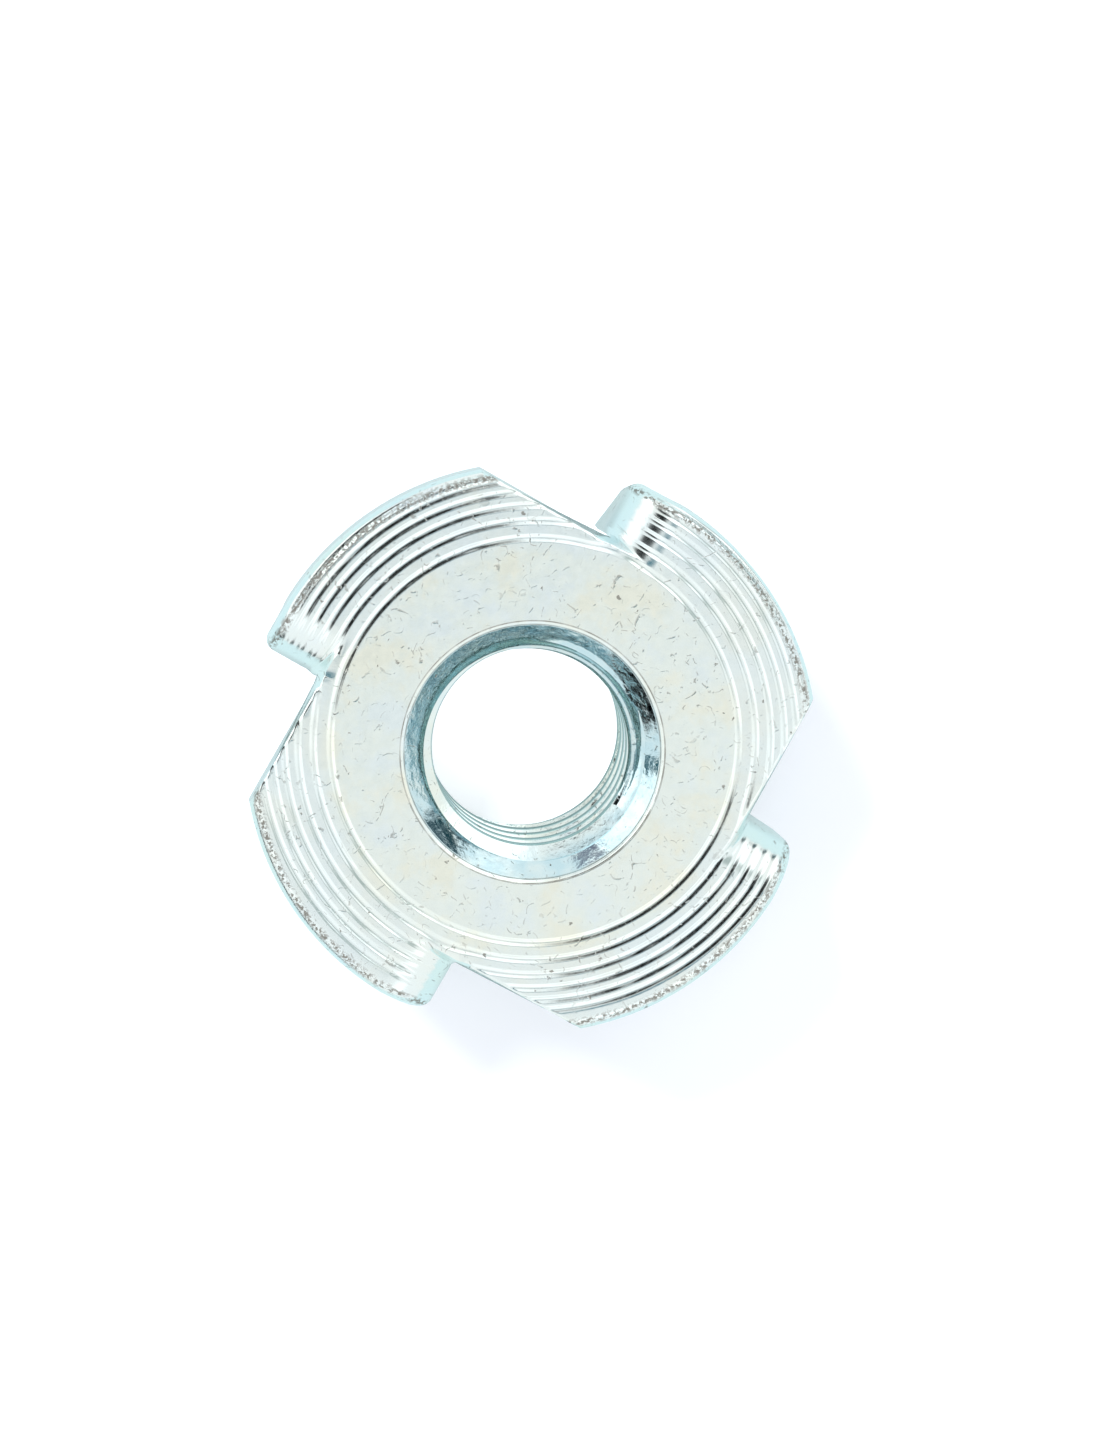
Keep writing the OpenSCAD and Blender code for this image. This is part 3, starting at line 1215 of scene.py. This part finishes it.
@dataclass
class Studio:
    """A pale floor under a white dome, with dark flags that give the metal its contrast.

    All angles are in degrees. The sizes of the floor, of the soft pools of painted light and
    shade on it and of the lamp are in millimetres.
    """

    cards: tuple[Card, ...] = (
        Card(60, 52, 22, 26, "#FFFFFF", 1.6),
        Card(150, 70, 30, 13, "#FFFFFF", 1.7),
        Card(200, 42, 24, 9, "#FFFFFF", 1.35),
        Card(305, 41, 30, 10, "#FFFFFF", 1.4),
        Card(117, 4, 7.5, 7.5, "#2F7488", soft=0.45),
        Card(135, 32.5, 26, 15, "#0C1012", soft=0.25),
        Card(20, 30, 13, 10, "#BCC6C4"),
        Card(218, 87, 22, 8, "#020406", soft=0.2),
        Card(36, 84, 14, 5, "#1F454E"),
        Card(119, 78, 9, 4, "#8B8998"),
        Card(180, 82, 5, 4, "#2F6470"),
    )
    overhead: float = 1.02
    around: float = 1.1
    floor_half: float = 900.0
    lamp_polar: float = 48.0
    lamp_azimuth: float = 128.0
    lamp_distance: float = 260.0
    lamp_size: float = 110.0
    lamp_power: float = 0.9
    floor_glow: float = 0.16
    # painted light: the floor glows brighter below the bore
    painted_bore_glow: float = 0.85
    painted_bore_pool: Pair = (0.2, 1.5)
    painted_bore_pool_r: float = 11.0
    painted_nut_shade_r: float = 17.0
    # painted reflection: the pale cyan the metal sees in the floor, for paper in the nut's shade
    painted_floor_reflection: str = "#E6FCFF"
    floor_level: float = 1.05
    floor_in_metal: float = 0.95

    def build(self) -> None:
        """Sets the plain view transform and makes the floor, the dome and the lamp."""
        bpy.context.scene.view_settings.view_transform = "Standard"
        self.build_floor()
        self.build_dome()
        self.build_lamp()

    def build_floor(self) -> None:
        """Lays the floor: white to the camera but for the nut's shadow and a pool of painted light
        below the bore, and pale cyan in the metal with painted light and shade.
        """
        deselect_all()
        bpy.ops.mesh.primitive_plane_add(size=2 * self.floor_half * MM)
        floor = bpy.context.object
        floor.name = "studio_floor"
        material = bpy.data.materials.new("white_paper")
        material.use_nodes = True
        g = Graph(material.node_tree)
        place = g.add("TexCoord").outputs["Object"]
        # painted light: a bright pool on the floor below the bore, for camera and metal
        bore = self.pool(g, place, self.painted_bore_pool, self.painted_bore_pool_r)
        seen = g.add("LightPath").outputs

        # matt white paper: an even white with the nut's soft shadow in it, and painted light below
        # the bore
        paper = g.add("BsdfDiffuse", {"Color": linear("#EEF2FA")})
        share = g.add("MapRange", {0: bore, 2: 0.75, 3: self.floor_glow, 4: self.painted_bore_glow})
        share = g.add("Math", {0: share, 1: seen["Is Camera Ray"]}, operation="MULTIPLY")
        glow = g.add("Emission", {"Color": linear("#FFFFFF"), "Strength": share})
        shown = g.add("AddShader", {0: paper, 1: glow})

        # painted reflection: the metal sees the paper as a pale cyan glow, with painted light below
        # the bore and painted shade below the flange
        # painted shade: the floor in the metal darkens below the flange
        nut = self.pool(g, place, (0.0, 0.0), self.painted_nut_shade_r)
        shaded = g.add("Math", {0: nut, 1: bore}, operation="SUBTRACT", use_clamp=True)
        level = g.add("MapRange", {0: shaded, 2: 0.6, 3: self.floor_level,
                                   4: 0.3 * self.floor_level})
        mirrored = g.add("Math", {0: seen["Is Glossy Ray"], 1: seen["Is Transmission Ray"]},
                         operation="MAXIMUM")
        mirrored = g.add("Math", {0: mirrored, 1: self.floor_in_metal}, operation="MULTIPLY")
        # painted reflection: pale cyan emission that only the metal sees
        pale = g.add("Emission", {"Color": linear(self.painted_floor_reflection), "Strength": level})
        both = g.add("MixShader", {0: mirrored, 1: shown, 2: pale})
        g.add("OutputMaterial", {"Surface": both})
        floor.data.materials.append(material)

    def pool(self, g: Graph, place: Any, centre: Pair, radius: float) -> Any:
        """Adds a soft round patch on the floor, used to paint light below the bore and shade below
        the flange.

        Args:
            g: The floor's node tree.
            place: Where on the floor each point is, in metres.
            centre: The patch's middle, in mm.
            radius: Its radius, in mm.

        Returns:
            The node that rises smoothly from 0 outside the patch to 1 at its middle.
        """
        middle = (centre[0] * MM, centre[1] * MM, 0.0)
        away = g.add("VectorMath", {0: place, 1: middle}, operation="DISTANCE")
        return g.add("MapRange", {0: away, 1: radius * MM, 2: 0.0},
                     interpolation_type="SMOOTHSTEP")

    def build_dome(self) -> None:
        """Makes the world: a pale dome with the cards in it, plain white to the camera."""
        world = bpy.data.worlds.new("studio_dome")
        bpy.context.scene.world = world
        world.use_nodes = True
        g = Graph(world.node_tree)
        toward = g.add("TexCoord").outputs["Generated"]
        up = g.add("SeparateXYZ", {0: toward}).outputs["Z"]
        level = g.add("MapRange", {0: up, 1: 0.95, 2: 0.87, 3: self.overhead, 4: self.around},
                      interpolation_type="SMOOTHSTEP")
        colour = g.add("CombineColor", {0: level, 1: level, 2: level})
        for card in self.cards:
            turn = (0.0, math.radians(card.polar), math.radians(card.azimuth))
            spread = (math.sin(math.radians(card.half_up)),
                      math.sin(math.radians(card.half_across)), 1.0)
            held = g.add("Mapping", {"Vector": toward, "Location": aim(card.azimuth, card.polar),
                                     "Rotation": turn, "Scale": spread}, vector_type="TEXTURE")
            away = g.add("VectorMath", {0: held}, operation="LENGTH")
            inside = g.add("MapRange", {0: away, 1: 1 + card.soft, 2: 1 - card.soft},
                           interpolation_type="SMOOTHSTEP")
            tone = [c * card.strength for c in linear(card.colour)[:3]] + [1.0]
            colour = g.add("Mix", {0: inside, 6: colour, 7: tone}, data_type="RGBA")
        seen = g.add("LightPath").outputs["Is Camera Ray"]
        shown = g.add("Mix", {0: seen, 6: colour, 7: linear("#FFFFFF")}, data_type="RGBA")
        back = g.add("Background", {"Color": shown})
        g.add("OutputWorld", {"Surface": back})

    def build_lamp(self) -> None:
        """Hangs the large soft lamp that throws the nut's shadow to the lower right."""
        lamp = bpy.data.lights.new("soft_lamp", "AREA")
        lamp.shape = "DISK"
        lamp.size = self.lamp_size * MM
        lamp.energy = self.lamp_power
        piece = bpy.data.objects.new("soft_lamp", lamp)
        bpy.context.scene.collection.objects.link(piece)
        toward = Vector(aim(self.lamp_azimuth, self.lamp_polar))
        piece.location = toward * self.lamp_distance * MM
        piece.rotation_euler = toward.to_track_quat("Z", "Y").to_euler()
        piece.visible_glossy = False


@dataclass
class Viewpoint:
    """The camera, almost straight above the face and leaning a little to the upper left."""

    tilt: float = 8.9
    azimuth: float = 117.0
    distance: float = 300.0
    lens: float = 171.0
    aim_right: float = 0.755
    aim_up: float = 1.266

    def build(self) -> None:
        """Makes the camera and looks through it."""
        back = Vector(aim(self.azimuth, self.tilt))
        right = Vector((0, 1, 0)).cross(back).normalized()
        up = back.cross(right)
        face = Vector((0.0, 0.0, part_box(NODE)[1].z))
        target = face + (right * self.aim_right + up * self.aim_up) * MM
        data = bpy.data.cameras.new("view")
        data.sensor_width = 36.0
        data.lens = self.lens
        data.clip_start = 0.01
        data.clip_end = 10.0
        camera = bpy.data.objects.new("view", data)
        bpy.context.scene.collection.objects.link(camera)
        turn = Matrix((right, up, back)).transposed().to_4x4()
        camera.matrix_world = Matrix.Translation(target + back * self.distance * MM) @ turn
        bpy.context.scene.camera = camera


# ---------------------------------------------------------------------------------------------
# The nut


@dataclass
class TeeNut:
    """The whole nut, one closed piece that stands for the CAD solid."""

    shape: DrawnBlank
    rings: ToolingRings
    thread: TappedThread
    prongs: Prongs
    smooth_below: float = 32.0

    def build(self) -> bpy.types.Object:
        """Spins, presses, taps and folds the nut.

        Returns:
            The finished nut, without a material.
        """
        nut = self.shape.build(self.rings)
        self.rings.press(nut, self.shape, self.prongs)
        self.thread.mark_run_out(nut, self.shape)
        self.thread.tap(nut, self.shape)
        self.prongs.build(nut)
        face_outwards(nut)
        take(nut)
        bpy.ops.object.shade_smooth_by_angle(angle=math.radians(self.smooth_below))
        return nut

    def dress(self, nut: bpy.types.Object) -> None:
        """Gives the nut its plate and its body, and hides the CAD part that it replaces.

        Args:
            nut: The finished nut.
        """
        nut.data.materials.clear()
        plate = ZincPlate(self.shape.height, self.shape.flange_r, self.shape.mouth_r,
                          self.shape.crest_r, self.prongs.slit_r, self.prongs.fold_angle)
        nut.data.materials.append(plate.build())
        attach(nut, "root")
        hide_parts(NODE)


def main() -> None:
    """Builds the nut, the studio and the camera, in that order."""
    logging.basicConfig(level=logging.INFO, format="%(name)s: %(message)s")
    shape = DrawnBlank.from_frame()
    nut = TeeNut(shape, ToolingRings(), TappedThread(), Prongs(shape))
    piece = nut.build()
    nut.dress(piece)
    log.info("nut: %d triangles", sum(len(p.vertices) - 2 for p in piece.data.polygons))
    studio = Studio()
    studio.build()
    log.info("studio: %d cards", len(studio.cards))
    Viewpoint().build()
    log.info("camera: set")


if __name__ == "__main__":
    main()
